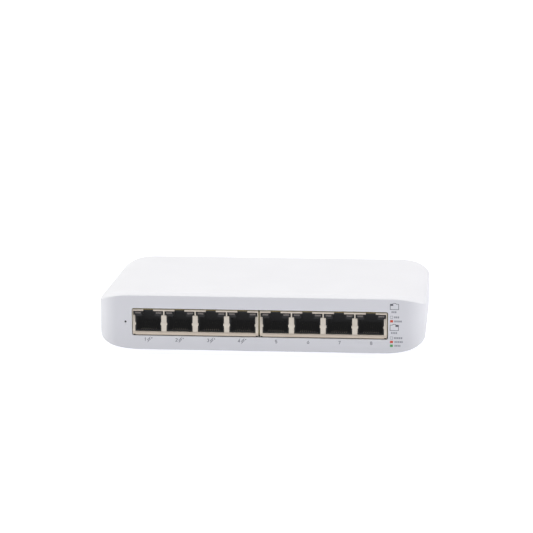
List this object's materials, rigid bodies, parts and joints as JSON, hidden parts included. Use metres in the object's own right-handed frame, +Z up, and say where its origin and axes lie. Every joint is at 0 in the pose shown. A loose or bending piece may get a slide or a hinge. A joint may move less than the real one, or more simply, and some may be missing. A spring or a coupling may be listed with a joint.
{
  "type": "desktop network switch",
  "caption": "Low white plastic box with rounded corners and a row of network ports along its front, in shielded jack blocks, on rubber feet.",
  "frame": {"origin": "on the table, under the middle of the casing", "axes": "+X along the row of ports, to the right as the ports are seen; the ports face -Y; +Z up"},
  "size_m": [0.1636, 0.0996, 0.0317],
  "materials": {
    "cover_plastic": "fine matte moulded white",
    "base_plastic": "fine matte moulded white",
    "foot_rubber": "matte",
    "screw_steel": "zinc plated",
    "board_laminate": "solder mask, satin",
    "shield_steel": "nickel plated, satin",
    "housing_plastic": "matte black",
    "contact_gold": "gold plated",
    "light_lens": "smoky translucent",
    "button_plastic": "satin black",
    "switch_plastic": "matte black",
    "bracket_steel": "plated",
    "tinned_pin": "tin plated",
    "chip_black": "matte moulded epoxy",
    "pad_silicone": "soft matte",
    "sink_aluminium": "extruded, satin",
    "can_steel": "satin",
    "inductor_ferrite": "matte grey-black",
    "capacitor_sleeve": "shrink sleeve",
    "capacitor_can": "satin",
    "fuse_ceramic": "glazed ceramic",
    "chip_ceramic": "matte ceramic"
  },
  "bodies": {
    "casing": {"top_cover": "cover_plastic", "bottom_cover": "base_plastic", "rubber_feet": "foot_rubber", "cover_screws": "screw_steel", "board_screws": "screw_steel", "main_board": "board_laminate", "port_shield_left": "shield_steel", "port_shield_right": "shield_steel", "port_housing_left": "housing_plastic", "port_housing_right": "housing_plastic", "port_contacts_left": "contact_gold", "port_contacts_right": "contact_gold", "port_lights_left": "light_lens", "port_lights_right": "light_lens", "reset_switch_body": "switch_plastic", "reset_switch_bracket": "bracket_steel", "reset_switch_dome": "bracket_steel", "reset_switch_pins": "tinned_pin", "dc_jack_housing": "housing_plastic", "dc_jack_pin": "tinned_pin", "dc_jack_spring": "tinned_pin", "lan_transformers": "chip_black", "switch_chip": "chip_black", "thermal_pad": "pad_silicone", "heat_sink": "sink_aluminium", "port_power_chip": "chip_black", "port_power_transistors": "chip_black", "memory_chip": "chip_black", "flash_chip": "chip_black", "crystal": "can_steel", "power_inductors": "inductor_ferrite", "bulk_capacitors": "capacitor_sleeve", "small_capacitors": "capacitor_can", "input_choke": "inductor_ferrite", "input_fuse": "fuse_ceramic", "chip_capacitors": "chip_ceramic", "chip_resistors": "chip_ceramic"},
    "reset_plunger": {"reset_button": "button_plastic"}
  },
  "joints": [
    {"name": "reset_press", "type": "slide", "parent": "casing", "child": "reset_plunger", "axis": [0, 1, 0], "range_m": [0, 0.00025], "stiffness_N_per_m": 5000}
  ]
}
